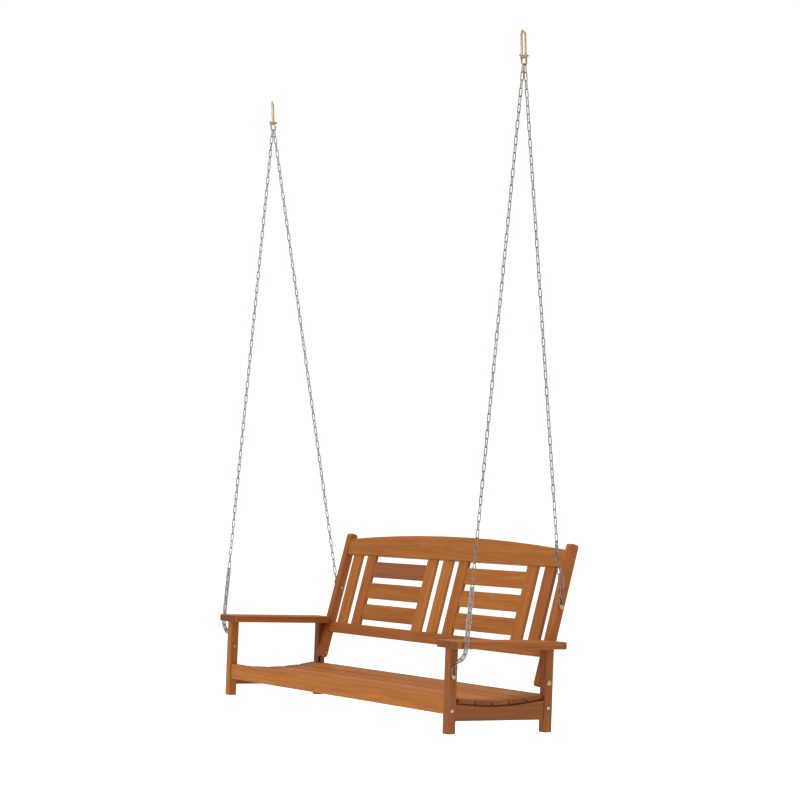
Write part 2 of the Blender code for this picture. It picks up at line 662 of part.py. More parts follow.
def build_hangers(bench, back, swing):
    """Ring, bolt and nut at the lower end of each chain, and the bolts of the stiles."""
    nodes = []
    ring_room = 2 * RING_WIRE + 2 * GAP
    for side, sign in SIDES.items():
        places = (("front", bench, HALF, INNER, (POST / 2, FRONT_HANGER_UP), BENCH_PITCH),
                  ("rear", back, STILE_OUTER, STILE_INNER, REAR_BOLT, rear_lean(back, swing)))
        for place, parent, outer, inner, spot, lean in places:
            name = f"hanger_ring_{place}_{side}"
            path = []
            for across, along in oval(RING_HALF_WIDTH, RING_LENGTH):
                shift = along + RING_SEAT
                path.append((0, across * math.cos(lean) - shift * math.sin(lean),
                             across * math.sin(lean) + shift * math.cos(lean)))
            ring = swept(name, path, RING_WIRE, parent, metal(name), cyclic=True)
            ring.location = (sign * (outer + GAP + RING_WIRE), *spot)
            nodes.append(ring)
            nodes.append(build_bolt(f"hanger_bolt_{place}_{side}", outer + ring_room, inner, sign, spot,
                                    parent, "yellow_zinc", NUT_HEIGHT + THREAD_OUT))
            nodes.append(build_nut(f"hanger_nut_{place}_{side}", inner, sign, spot, parent))
        spot = (REAR_POST_Y + POST / 2, STILE_BOLT_UP)
        nodes.append(build_bolt(f"stile_bolt_{side}", HALF, STILE_INNER, sign, spot, bench,
                                "bright_zinc", NUT_HEIGHT))
    return nodes


def rear_lean(back, swing):
    """How far a rear ring leans forward off the stile, so that it points up its chain."""
    top = seen_from(back, swing, Vector((0, CHAIN_SPREAD, BOW_LOW)))
    return math.atan2(REAR_BOLT[0] - top.y, top.z - REAR_BOLT[1])


def build_loops():
    nodes = []
    for side, sign in SIDES.items():
        name = f"hanging_loop_{side}"
        path = [(across, 0, along) for across, along in
                oval(LOOP_HALF_WIDTH, LOOP_LENGTH - 2 * LOOP_HALF_WIDTH)]
        loop = swept(name, path, LOOP_WIRE, None, metal(name, "yellow_zinc"), cyclic=True, sides=10)
        loop.location = (sign * HOOK_SPACING / 2, 0, LOOP_WIRE - LOOP_LENGTH + LOOP_HALF_WIDTH)
        loop.rotation_euler = (0, 0, LOOP_TURN[side])
        nodes.append(loop)
    return nodes


def build_shackles(swing):
    nodes = []
    for side, sign in SIDES.items():
        place = (sign * HOOK_SPACING / 2, 0, PIN_UP)
        nodes += [build_bow(f"shackle_bow_{side}", place, swing),
                  build_pin(f"shackle_pin_{side}", place, swing)]
    return nodes


def build_bow(name, place, swing):
    """A bent bar with a flat eye at each end, both bored for the pin."""
    along_y = Matrix.Rotation(math.radians(90), 4, "X")
    straight = SHACKLE_REACH - SHACKLE_HALF_WIDTH
    bend_steps = 10
    path = [(0, -SHACKLE_HALF_WIDTH, 0)]
    for step in range(bend_steps + 1):
        angle = math.pi + math.pi * step / bend_steps
        path.append((0, SHACKLE_HALF_WIDTH * math.cos(angle),
                     -straight + SHACKLE_HALF_WIDTH * math.sin(angle)))
    path.append((0, SHACKLE_HALF_WIDTH, 0))
    bow = swept(name, path, SHACKLE_WIRE, swing, metal(name, "yellow_zinc"))
    bow.location = place

    eyes, holes = bmesh.new(), bmesh.new()
    for y in (-SHACKLE_HALF_WIDTH, SHACKLE_HALF_WIDTH):
        bmesh.ops.create_cone(eyes, cap_ends=True, segments=16, radius1=SHACKLE_EYE,
                              radius2=SHACKLE_EYE, depth=SHACKLE_EYE_WIDE,
                              matrix=Matrix.Translation((0, y, 0)) @ along_y)
    bore = SHACKLE_PIN + BOLT_CLEARANCE
    bmesh.ops.create_cone(holes, cap_ends=True, segments=16, radius1=bore, radius2=bore,
                          depth=SHACKLE_HALF_WIDTH * 4, matrix=along_y)
    combine(bow, eyes, f"add_{name}", "UNION")
    combine(bow, holes, f"cut_{name}", "DIFFERENCE")
    return bow


def build_pin(name, place, swing):
    """The shackle's pin along Y, with a collar and a thin tail at the back."""
    reach = SHACKLE_HALF_WIDTH + max(SHACKLE_EYE_WIDE / 2, SHACKLE_WIRE) + GAP
    collar_end = reach + PIN_COLLAR
    profile = [(-reach - PIN_END, SHACKLE_PIN), (reach, SHACKLE_PIN), (reach, PIN_HEAD),
               (collar_end, PIN_HEAD), (collar_end, PIN_TAIL_RADIUS),
               (collar_end + PIN_TAIL, PIN_TAIL_RADIUS)]
    pin = turned(name, profile, (0, 0, 0), 1, swing, metal(name, "yellow_zinc"), 12)
    pin.location = place
    pin.rotation_euler = (0, 0, math.radians(90))
    return pin


# ---- chains --------------------------------------------------------------------
def smooth_path(corners, bend, steps=4):
    """Straight runs through corners, each inner corner rounded over the length bend."""
    path = [corners[0]]
    for before, here, after in zip(corners, corners[1:], corners[2:]):
        start = here + (before - here).normalized() * bend
        end = here + (after - here).normalized() * bend
        for step in range(steps + 1):
            t = step / steps
            path.append(start * (1 - t) ** 2 + here * (2 * t * (1 - t)) + end * t ** 2)
    path.append(corners[-1])
    return path


def build_chains(bench, back, swing):
    """Bars of the chains' mass from the shackles to the rings, and the clear sleeves."""
    nodes = []
    clear = CHAIN_BAR + GAP
    for side, sign in SIDES.items():
        hook_x = sign * HOOK_SPACING / 2

        # the front chain turns round the outer edge of the armrest, inside its sleeve
        top = Vector((hook_x, -CHAIN_SPREAD, BOW_LOW))
        low = Vector((sign * (HALF + clear), POST / 2 - RING_TOP * math.sin(BENCH_PITCH),
                      FRONT_HANGER_UP + RING_TOP * math.cos(BENCH_PITCH)))
        edge = Vector((sign * (ARM_OUTER + SLEEVE_OUTER + GAP), POST / 2, ARM_HEIGHT - CHAIN_BEND))
        low = seen_from(swing, bench, low)
        edge = seen_from(swing, bench, edge)
        name = f"chain_front_{side}"
        path = smooth_path([top, edge, low], CHAIN_BEND)
        nodes.append(swept(name, path, CHAIN_BAR, swing, metal(name)))

        upper = edge + (top - edge).normalized() * SLEEVE_ABOVE
        lower = edge + (low - edge).normalized() * SLEEVE_BELOW
        nodes.append(build_sleeve(f"chain_sleeve_{side}", [upper, edge, lower], swing))

        # the rear chain runs straight to the ring on the stile
        top = Vector((hook_x, CHAIN_SPREAD, BOW_LOW))
        lean = rear_lean(back, swing)
        low = Vector((sign * (STILE_OUTER + clear), REAR_BOLT[0] - RING_TOP * math.sin(lean),
                      REAR_BOLT[1] + RING_TOP * math.cos(lean)))
        name = f"chain_rear_{side}"
        path = [top, seen_from(swing, back, low)]
        nodes.append(swept(name, path, CHAIN_BAR, swing, metal(name)))
    return nodes


def seen_from(frame, other, point):
    """A point of one empty's frame in the frame of another."""
    return frame.matrix_world.inverted() @ other.matrix_world @ point


def build_sleeve(name, corners, parent, sides=12):
    """A thin-walled clear tube along a path in a plane across the bench, open at both ends."""
    bm = bmesh.new()
    path = smooth_path(corners, CHAIN_BEND)
    outer, inner = [], []
    for index, point in enumerate(path):
        before = path[max(index - 1, 0)]
        after = path[min(index + 1, len(path) - 1)]
        along = (after - before).normalized()
        across = along.cross(Vector((0, 1, 0))).normalized()
        other = along.cross(across)
        for rings, radius in ((outer, SLEEVE_OUTER), (inner, SLEEVE_OUTER - SLEEVE_WALL)):
            rings.append(circle(bm, point, across * radius, other * radius, sides))
    skin(bm, outer)
    skin(bm, inner)
    skin(bm, [outer[0], inner[0]])
    skin(bm, [outer[-1], inner[-1]])
    return link_mesh(name, bm, parent, make_material(name, CLEAR_PLASTIC, 0.2))


# ---- assembly ------------------------------------------------------------------
def centre_of_volume(nodes):
    """Centre of the timber's volume in world space."""
    total, moment = 0.0, Vector((0, 0, 0))
    depsgraph = bpy.context.evaluated_depsgraph_get()
    for node in nodes:
        evaluated = node.evaluated_get(depsgraph)
        mesh = evaluated.to_mesh()
        mesh.calc_loop_triangles()
        corners = [evaluated.matrix_world @ vertex.co for vertex in mesh.vertices]
        for triangle in mesh.loop_triangles:
            a, b, c = (corners[index] for index in triangle.vertices)
            volume = a.dot(b.cross(c)) / 6
            total += volume
            moment += (a + b + c) / 4 * volume
        evaluated.to_mesh_clear()
    return moment / total


def main():
    clear_scene()
    swing = make_empty("swing_axis", (0, 0, -SWING_AXIS_DROP), 0)
    bench = make_empty("bench_frame", (0, 0, 0), 0, swing)
    back = make_empty("back_frame", (0, BACK_SETBACK, ARM_HEIGHT), -RECLINE, bench)

    timber = build_posts(bench) + build_seat(bench) + build_armrests(bench) + build_back(back)
    bpy.context.view_layer.update()
    centre = centre_of_volume(timber) - swing.location

    # hang the bench so that its centre of mass is straight below the swing axis
    lean = Matrix.Rotation(-BENCH_PITCH, 4, "X")
    pivot = Vector((0, centre.y - (HANG_HEIGHT - centre.z) * math.tan(BENCH_PITCH), HANG_HEIGHT))
    bench.rotation_euler = (-BENCH_PITCH, 0, 0)
    bench.location = -(lean @ pivot)
    bpy.context.view_layer.update()

    build_loops()
    build_shackles(swing)
    build_hangers(bench, back, swing)
    build_chains(bench, back, swing)
    bpy.context.view_layer.update()


main()
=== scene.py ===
import math

import bmesh
import bpy
from mathutils import Matrix, Quaternion, Vector


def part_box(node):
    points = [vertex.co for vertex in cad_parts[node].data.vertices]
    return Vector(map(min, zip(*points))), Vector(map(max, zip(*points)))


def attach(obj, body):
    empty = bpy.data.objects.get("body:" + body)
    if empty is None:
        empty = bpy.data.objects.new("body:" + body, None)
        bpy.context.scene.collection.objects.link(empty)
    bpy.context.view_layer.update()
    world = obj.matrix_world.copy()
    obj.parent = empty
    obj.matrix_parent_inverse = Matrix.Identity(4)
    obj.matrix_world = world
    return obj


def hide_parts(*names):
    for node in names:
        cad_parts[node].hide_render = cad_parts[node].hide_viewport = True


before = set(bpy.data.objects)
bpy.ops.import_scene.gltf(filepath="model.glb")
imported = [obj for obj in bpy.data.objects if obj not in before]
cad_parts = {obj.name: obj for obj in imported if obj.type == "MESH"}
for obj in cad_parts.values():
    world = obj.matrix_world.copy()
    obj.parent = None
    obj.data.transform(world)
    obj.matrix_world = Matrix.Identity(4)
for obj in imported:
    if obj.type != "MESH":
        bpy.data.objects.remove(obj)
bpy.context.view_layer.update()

print("porch swing: frame loaded,", len(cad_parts), "CAD nodes")

cameraSet = {"place": (6.703, -4.121, -1.248), "lookAt": (0.032, 0.0, -1.1325),
             "rollDegrees": -1.44, "lensMm": 103.4, "sensorMm": 36.0}
benchLean = math.radians(-4.15)    # the hung bench leans back about X
backLean = math.radians(-18.25)    # and the backrest leans further
sides = {"left": -1, "right": 1}
benchUp = Vector((0, -math.sin(benchLean), math.cos(benchLean)))
benchBack = Vector((0, math.cos(benchLean), math.sin(benchLean)))


def hexToLinear(code):
    channels = [int(code[start:start + 2], 16) / 255 for start in (1, 3, 5)]
    linear = [c / 12.92 if c <= 0.04045 else ((c + 0.055) / 1.055) ** 2.4 for c in channels]
    return (*linear, 1.0)


def addNode(tree, kind, settings, links=None):
    node = tree.nodes.new(kind)
    for key, value in settings.items():
        if isinstance(key, int) or key in node.inputs:
            node.inputs[key].default_value = value
        else:
            setattr(node, key, value)
    for key, source in (links or {}).items():
        tree.links.new(source, node.inputs[key])
    return node


def newMaterial(name, shaderSettings):
    material = bpy.data.materials.new(name)
    material.use_nodes = True
    tree = material.node_tree
    shader = tree.nodes["Principled BSDF"]
    for key, value in shaderSettings.items():
        shader.inputs[key].default_value = value
    return material, tree, shader


def addPiece(name, bm, material, smooth=True):
    mesh = bpy.data.meshes.new(name)
    bmesh.ops.recalc_face_normals(bm, faces=bm.faces)
    bm.to_mesh(mesh)
    bm.free()
    for face in mesh.polygons:
        face.use_smooth = smooth
    mesh.materials.append(material)
    piece = bpy.data.objects.new(name, mesh)
    bpy.context.collection.objects.link(piece)
    return piece


def softenEdges(piece, width, segments=2, angle=30):
    bevel = piece.modifiers.new("rounding", "BEVEL")
    bevel.width = width
    bevel.segments = segments
    bevel.limit_method = "ANGLE"
    bevel.angle_limit = math.radians(angle)
    bevel.use_clamp_overlap = True
    even = piece.modifiers.new("even shading", "WEIGHTED_NORMAL")
    even.keep_sharp = False


# Red-orange plantation hardwood, planed and oiled: straight fine grain, a soft satin
# sheen, and boards that differ a little in tone. Sizes in millimetres.
timberSet = {
    "bands": {"alongMm": 420, "acrossMm": 16, "detail": 3.0},     # broad growth bands
    "streaks": {"alongMm": 150, "acrossMm": 3.2, "detail": 4.0},  # drawn coarser than life, to show
    "fibre": {"alongMm": 34, "acrossMm": 0.9, "detail": 3.0},
    "pores": {"alongMm": 7, "acrossMm": 0.45, "detail": 1.0},
    "tones": {
        "honey": ("#AB6527", "#BD7930", "#8F4D1C", "#562A10"),
        "amber": ("#A25A24", "#B36D2C", "#874619", "#50260F"),
        "brown": ("#905125", "#A2612E", "#75401B", "#44210F"),
        "umber": ("#98572F", "#A56639", "#7C4324", "#4A2716"),
    },
    "shows": {"bands": (0.36, 0.66), "streaks": (0.46, 0.78), "fibre": (0.50, 0.80), "pores": (0.62, 0.74),
              "ends": (0.72, 0.93)},                              # where each pattern starts and is full
    "most": {"streaks": 0.75, "fibre": 0.35, "pores": 0.55, "ends": 0.55},
    "roughness": (0.48, 0.64),
    "noiseRoughness": 0.6, "waviness": 0.25,
    "relief": 0.35, "reliefDeep": 0.0004,
    "toneShift": 0.10, "toneStep": 12.9898,                       # each board is cut from another plank
    "cut": (0.37, 0.19, 0.23),                                    # and from another place in it
}


def layOver(tree, below, colour, source, pattern):
    # lays a colour over the ones below where the pattern is strong
    low, high = timberSet["shows"][pattern]
    amount = addNode(tree, "ShaderNodeMapRange",
                     {"From Min": low, "From Max": high, "To Max": timberSet["most"][pattern]},
                     {"Value": source})
    mixed = addNode(tree, "ShaderNodeMix", {"data_type": "RGBA", 7: colour},
                    {0: amount.outputs["Result"], 6: below})
    return mixed.outputs[2], amount.outputs["Result"]


def oiledHardwood(name, grainAxis, lean, seed, toneName):
    material, tree, shader = newMaterial(name, {"IOR": 1.47, "Specular IOR Level": 0.28})
    middle, light, dark, pore = (hexToLinear(code) for code in timberSet["tones"][toneName])
    boardShift = 1.0 + timberSet["toneShift"] * math.sin(seed * timberSet["toneStep"])
    middle, light, dark = ([channel * boardShift for channel in tone[:3]] + [1.0]
                           for tone in (middle, light, dark))
    coordinates = addNode(tree, "ShaderNodeTexCoord", {})
    noise = {}
    for pattern in ("bands", "streaks", "fibre", "pores"):
        size = [timberSet[pattern]["acrossMm"] / 1000] * 3
        size[grainAxis] = timberSet[pattern]["alongMm"] / 1000
        place = addNode(tree, "ShaderNodeMapping",
                        {"vector_type": "TEXTURE", "Location": [share * seed for share in timberSet["cut"]],
                         "Rotation": (lean, 0, 0), "Scale": size},
                        {"Vector": coordinates.outputs["Object"]})
        noise[pattern] = addNode(tree, "ShaderNodeTexNoise",
                                 {"Scale": 1.0, "Detail": timberSet[pattern]["detail"],
                                  "Roughness": timberSet["noiseRoughness"],
                                  "Distortion": timberSet["waviness"]},
                                 {"Vector": place.outputs["Vector"]}).outputs["Fac"]
    low, high = timberSet["shows"]["bands"]
    bandAmount = addNode(tree, "ShaderNodeMapRange", {"From Min": low, "From Max": high},
                         {"Value": noise["bands"]})
    banded = addNode(tree, "ShaderNodeMix", {"data_type": "RGBA", 6: middle, 7: light},
                     {0: bandAmount.outputs["Result"]})
    streaked = layOver(tree, banded.outputs[2], dark, noise["streaks"], "streaks")[0]
    fibred = layOver(tree, streaked, dark, noise["fibre"], "fibre")[0]
    pored, poreAmount = layOver(tree, fibred, pore, noise["pores"], "pores")
    # sawn ends drink more oil and go darker
    facing = addNode(tree, "ShaderNodeSeparateXYZ", {}, {"Vector": coordinates.outputs["Normal"]})
    endways = addNode(tree, "ShaderNodeMath", {"operation": "ABSOLUTE"},
                      {0: facing.outputs[grainAxis]})
    ended = layOver(tree, pored, pore, endways.outputs["Value"], "ends")[0]
    low, high = timberSet["roughness"]
    sheen = addNode(tree, "ShaderNodeMapRange", {"To Min": low, "To Max": high},
                    {"Value": noise["streaks"]})
    grooves = addNode(tree, "ShaderNodeMath", {"operation": "SUBTRACT"},
                      {0: noise["fibre"], 1: poreAmount})
    relief = addNode(tree, "ShaderNodeBump",
                     {"Strength": timberSet["relief"], "Distance": timberSet["reliefDeep"]},
                     {"Height": grooves.outputs["Value"]})
    tree.links.new(ended, shader.inputs["Base Color"])
    tree.links.new(sheen.outputs["Result"], shader.inputs["Roughness"])
    tree.links.new(relief.outputs["Normal"], shader.inputs["Normal"])
    return material


# grain axis (0 along the bench, 1 from front to back, 2 upright), lean and tone of each board
boardSet = {
    "front_rail": (0, benchLean, "honey"), "rear_rail": (0, benchLean, "brown"),
    "centre_bearer": (1, benchLean, "brown"),
    "seat_slat_1": (0, benchLean, "honey"), "seat_slat_2": (0, benchLean, "amber"),
    "seat_slat_3": (0, benchLean, "honey"), "seat_slat_4": (0, benchLean, "amber"),
    "seat_slat_5": (0, benchLean, "honey"),
    "back_lower_rail": (0, backLean, "amber"), "crest_rail": (0, backLean, "honey"),
    "back_board_left_1": (0, backLean, "honey"), "back_board_left_2": (0, backLean, "honey"),
    "back_board_left_3": (0, backLean, "umber"), "back_board_right_1": (0, backLean, "honey"),
    "back_board_right_2": (0, backLean, "honey"), "back_board_right_3": (0, backLean, "honey"),
    "back_slat_1": (2, backLean, "honey"), "back_slat_2": (2, backLean, "amber"),
    "back_slat_3": (2, backLean, "honey"), "back_slat_4": (2, backLean, "honey"),
    "back_slat_5": (2, backLean, "amber"), "back_slat_6": (2, backLean, "honey"),
    "back_slat_7": (2, backLean, "amber"),
}
for side in sides:
    boardSet[f"side_rail_{side}"] = (1, benchLean, "brown")
    boardSet[f"armrest_{side}"] = (1, benchLean, "amber")
    boardSet[f"post_front_{side}"] = (2, benchLean, {"left": "honey", "right": "brown"}[side])
    boardSet[f"post_rear_{side}"] = (2, benchLean, "brown")
    boardSet[f"stile_{side}"] = (2, backLean, "amber")

edgeRounding = 0.0006      # on each corner of the CAD's chamfers, which makes them round
cadMerge = {"distance": 0.00002, "angle": math.radians(0.6)}    # joins the CAD's split triangles


def makeBoards():
    for seed, (nodeName, (grainAxis, lean, toneName)) in enumerate(boardSet.items()):
        bm = bmesh.new()
        bm.from_mesh(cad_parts[nodeName].data)
        bmesh.ops.remove_doubles(bm, verts=bm.verts, dist=cadMerge["distance"])
        bmesh.ops.dissolve_limit(bm, angle_limit=cadMerge["angle"], verts=bm.verts, edges=bm.edges)
        material = oiledHardwood(f"oiled hardwood {nodeName}", grainAxis, lean, seed + 1, toneName)
        board = addPiece(f"{nodeName}_board", bm, material)
        softenEdges(board, edgeRounding)
        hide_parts(nodeName)
        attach(board, "swing")
    print("timber:", len(boardSet), "boards")


makeBoards()


# Mild steel, bent or upset, zinc plated and yellow passivated: a pale straw colour
# that drifts towards pink and green, with a soft reflection.
yellowSet = {"main": "#CDBE8E", "cast": "#B99B85", "dull": "#8A7E5C", "driftMm": 9, "grainMm": 0.6,
             "roughness": 0.30}

# Welded steel links, barrel zinc plated. The grey is darkened and warmed into patches of brown cast and
# dark flecks, a painted reflection of the timber and painted shade.
zincWithPaintedReflectionSet = {"main": "#A79C92", "cast": "#8B786C", "dull": "#5D4D45", "driftMm": 14, "grainMm": 0.5,
             "roughness": 0.28}

# Cold headed steel, rack plated: whiter than the chain, with a soft grey film.
boltZincSet = {"main": "#DDD6D1", "cast": "#C6B7AF", "dull": "#938A86", "driftMm": 6, "grainMm": 0.5,
               "roughness": 0.34}


def platedSteel(name, plating):
    material, tree, shader = newMaterial(name, {"Metallic": 1.0})
    main, cast, dull = (hexToLinear(plating[key]) for key in ("main", "cast", "dull"))
    roughness = plating["roughness"]
    coordinates = addNode(tree, "ShaderNodeTexCoord", {})
    drift = addNode(tree, "ShaderNodeTexNoise",
                    {"Scale": 1000 / plating["driftMm"], "Detail": 2.0},
                    {"Vector": coordinates.outputs["Object"]})
    grain = addNode(tree, "ShaderNodeTexNoise",
                    {"Scale": 1000 / plating["grainMm"], "Detail": 3.0},
                    {"Vector": coordinates.outputs["Object"]})
    driftAmount = addNode(tree, "ShaderNodeMapRange", {"From Min": 0.38, "From Max": 0.64},
                          {"Value": drift.outputs["Fac"]})
    hue = addNode(tree, "ShaderNodeMix", {"data_type": "RGBA", 6: main, 7: cast},
                  {0: driftAmount.outputs["Result"]})
    dullAmount = addNode(tree, "ShaderNodeMapRange",
                         {"From Min": 0.5, "From Max": 0.8, "To Max": 0.6},
                         {"Value": grain.outputs["Fac"]})
    dulled = addNode(tree, "ShaderNodeMix", {"data_type": "RGBA", 7: dull},
                     {0: dullAmount.outputs["Result"], 6: hue.outputs[2]})
    gloss = addNode(tree, "ShaderNodeMapRange", {"To Min": roughness - 0.08, "To Max": roughness + 0.12},
                    {"Value": grain.outputs["Fac"]})
    relief = addNode(tree, "ShaderNodeBump", {"Strength": 0.2, "Distance": 0.0001},
                     {"Height": grain.outputs["Fac"]})
    tree.links.new(dulled.outputs[2], shader.inputs["Base Color"])
    tree.links.new(gloss.outputs["Result"], shader.inputs["Roughness"])
    tree.links.new(relief.outputs["Normal"], shader.inputs["Normal"])
    return material


yellowZinc = platedSteel("yellow passivated zinc on bent steel", yellowSet)
# this zinc's colours hold a painted reflection of the timber and painted shade
zincWithPaintedReflection = platedSteel("welded steel links, zinc with painted timber reflection", zincWithPaintedReflectionSet)
boltZinc = platedSteel("bright zinc on cold headed steel", boltZincSet)


def ovalLine(halfWidth, straight, steps):
    # centre line of a long link: two half circles joined by two straight sides, (across, along)
    points = []
    for end, start in ((0.0, math.pi), (straight, 0.0)):
        for step in range(steps + 1):
            angle = start + math.pi * step / steps
            points.append((halfWidth * math.cos(angle), end + halfWidth * math.sin(angle)))
    return points


def stepSides(flat, bendSteps, sideSteps):
    # adds points along the two straight sides, which start at the last point of each bend
    line = []
    for index, (x, y) in enumerate(flat):
        line.append((x, y))
        if index in (bendSteps, 2 * bendSteps + 1):
            nextY = flat[(index + 1) % len(flat)][1]
            line += [(x, y + (nextY - y) * step / sideSteps) for step in range(1, sideSteps)]
    return line


def weldRadii(line, size, weldSide, straight):
    # the wire swells a little at its weld, halfway along one straight side
    radii = []
    for x, y in line:
        fromWeld = math.hypot(x - weldSide * size["halfWidth"], y - straight / 2) * 1000 / size["weldMm"]
        radii.append(size["wire"] * (1 + size["weldSwell"] * math.exp(-fromWeld ** 2)))
    return radii


def sweepWire(bm, points, radius, closed, facets):
    # radius is a number or one number for each point
    count = len(points)
    radii = radius if isinstance(radius, list) else [radius] * count
    directions = []
    for index in range(count):
        before = points[(index - 1) % count] if closed or index else points[0]
        after = points[(index + 1) % count] if closed or index < count - 1 else points[-1]
        directions.append((after - before).normalized())
    across = directions[0].orthogonal().normalized()
    rings = []
    for index in range(count):
        if index:
            across = directions[index - 1].rotation_difference(directions[index]) @ across
        other = directions[index].cross(across)
        ring = []
        for step in range(facets):
            angle = 2 * math.pi * step / facets
            spoke = across * math.cos(angle) + other * math.sin(angle)
            ring.append(bm.verts.new(points[index] + spoke * radii[index]))
        rings.append(ring)
    for near, far in zip(rings, rings[1:] + (rings[:1] if closed else [])):
        for step in range(facets):
            after = (step + 1) % facets
            bm.faces.new((near[step], near[after], far[after], far[step]))
    if not closed:
        bm.faces.new(rings[0])
        bm.faces.new(rings[-1])


def turnProfile(bm, profile, middle, axis, facets, hollow=False):
    # profile is (distance along the axis, radius); a hollow one runs round and back to its start
    across = axis.orthogonal().normalized()
    other = axis.cross(across)
    rings = []
    for out, radius in profile:
        ring = []
        for step in range(facets):
            angle = 2 * math.pi * step / facets
            spoke = (across * math.cos(angle) + other * math.sin(angle)) * radius
            ring.append(bm.verts.new(middle + axis * out + spoke))
        rings.append(ring)
    for near, far in zip(rings, rings[1:] + (rings[:1] if hollow else [])):
        for step in range(facets):
            after = (step + 1) % facets
            bm.faces.new((near[step], near[after], far[after], far[step]))
    if not hollow:
        bm.faces.new(rings[0])
        bm.faces.new(rings[-1])


def barLine(nodeName):
    # centre line of a CAD bar, top first: its vertices lie in rings, one below another
    corners = sorted((v.co.copy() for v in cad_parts[nodeName].data.vertices), key=lambda c: -c.z)
    ringGap = 0.0022
    rings = [[corners[0]]]
    for corner in corners[1:]:
        if rings[-1][-1].z - corner.z > ringGap:
            rings.append([])
        rings[-1].append(corner)
    line = []
    for ring in rings:
        low = Vector([min(c[axis] for c in ring) for axis in range(3)])
        high = Vector([max(c[axis] for c in ring) for axis in range(3)])
        line.append((low + high) / 2)
    return line


def pointOnLine(line, distance):
    # point and direction at a distance along a line, which runs on straight past its ends
    for index, (start, end) in enumerate(zip(line, line[1:])):
        length = (end - start).length
        if distance <= length or index == len(line) - 2:
            along = (end - start).normalized()
            return start + along * distance, along
        distance -= length


def lineLength(line):
    return sum((end - start).length for start, end in zip(line, line[1:]))


# 3 mm welded long-link chain: 26 mm inside length, 12 mm outside width
linkSet = {"wire": 0.0015, "pitch": 0.026, "halfWidth": 0.0045, "weldSwell": 0.16, "weldMm": 2.2,
           "restless": math.radians(7), "turnStep": 7.31, "bendSteps": 7, "sideSteps": 4, "facets": 10}

# the end links hold the shackle bow above and the hanger ring below; the middles of those
# two wires lie a little beyond the ends of the CAD bar
chainEndSet = {"bowWire": 0.003, "bowAbove": 0.0033, "ringWire": 0.002, "ringBelow": 0.0048}
chainSeed = {"side": 31, "place": 7}       # turns the links of each chain differently


def addLink(bm, middle, along, across, seed):
    halfLength = (linkSet["pitch"] + 2 * linkSet["wire"]) / 2
    straight = 2 * halfLength - 2 * linkSet["halfWidth"]
    turn = Matrix.Rotation(linkSet["restless"] * math.sin(seed * linkSet["turnStep"]), 3, along)
    width = turn @ across
    flat = ovalLine(linkSet["halfWidth"], straight, linkSet["bendSteps"])
    line = stepSides(flat, linkSet["bendSteps"], linkSet["sideSteps"])
    radii = weldRadii(line, linkSet, 1, straight)
    foot = middle - along * (straight / 2)
    points = [foot + width * x + along * y for x, y in line]
    sweepWire(bm, points, radii, True, linkSet["facets"])


def makeChain(side, place):
    nodeName = f"chain_{place}_{side}"
    line = barLine(nodeName)
    length = lineLength(line)
    hookWire = linkSet["wire"]
    ends = chainEndSet
    first = -ends["bowAbove"] - (ends["bowWire"] + hookWire) + (linkSet["pitch"] / 2 + hookWire)
    last = length + ends["ringBelow"] + (ends["ringWire"] + hookWire) - (linkSet["pitch"] / 2 + hookWire)
    gaps = 2 * round((last - first) / linkSet["pitch"] / 2)    # even, so both end links lie alike
    pitch = (last - first) / gaps
    bm = bmesh.new()
    for index in range(gaps + 1):
        upper = pointOnLine(line, first + index * pitch - linkSet["pitch"] / 2)[0]
        lower = pointOnLine(line, first + index * pitch + linkSet["pitch"] / 2)[0]
        along = (lower - upper).normalized()
        middle = (upper + lower) / 2
        sideways = Vector((1, 0, 0)) - along * along.x
        facing = sideways.normalized() if index % 2 == 0 else along.cross(sideways).normalized()
        seed = index + chainSeed["side"] * len(side) + chainSeed["place"] * len(place)
        addLink(bm, middle, along, facing, seed)
    chain = addPiece(f"{nodeName}_links", bm, zincWithPaintedReflection)
    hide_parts(nodeName)
    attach(chain, "swing")
    print("chain:", nodeName, gaps + 1, "links")


for side in sides:
    for place in ("front", "rear"):
        makeChain(side, place)

# the rear right chain is a little long: its spare end hooks back up beside it
tailSet = {"links": 7, "bulge": 0.009, "outward": 0.0085, "pastEnd": 0.004, "seed": 90}


def makeTail():
    line = barLine("chain_rear_right")
    length = lineLength(line)
    bm = bmesh.new()
    count = tailSet["links"]
    for index in range(count):
        ends = []
        for half in (-0.5, 0.5):
            linksDown = index + 0.5 + half
            share = linksDown / count
            fromEnd = (count - linksDown) * linkSet["pitch"]
            place = pointOnLine(line, length + tailSet["pastEnd"] - fromEnd)[0]
            swing = math.sin(2 * math.pi * share) * tailSet["bulge"]
            ease = math.sin(math.pi * share)
            ends.append(place + Vector((tailSet["outward"] * ease, -swing, 0)))
        along = (ends[1] - ends[0]).normalized()
        sideways = (Vector((1, 0, 0)) - along * along.x).normalized()
        facing = along.cross(sideways) if index % 2 == 0 else sideways
        addLink(bm, (ends[0] + ends[1]) / 2, along, facing, index + tailSet["seed"])
    tail = addPiece("chain_tail_rear_right", bm, zincWithPaintedReflection)
    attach(tail, "swing")
    print("chain tail:", count, "links")


makeTail()


# Soft PVC, extruded clear tube: a faint bluish tint, draw lines along it, and a skin that is
# duller in places. It bends light less than real PVC, so that the links inside stay clear.
sleeveSet = {"outer": 0.0077, "wall": 0.0012, "tint": "#EDF1F8", "mist": "#FFFFFF", "ovalShare": 0.05,
             "ovalStep": 0.9, "step": 0.004, "lowTrim": 0.005, "highTrim": 0.002, "facets": 32,
             "bending": 1.36, "clearness": 0.93, "drawLine": (0.0012, 0.0012, 0.060), "cloudScale": 55.0,
             "roughness": (0.02, 0.14), "relief": 0.15, "reliefDeep": 0.0001}


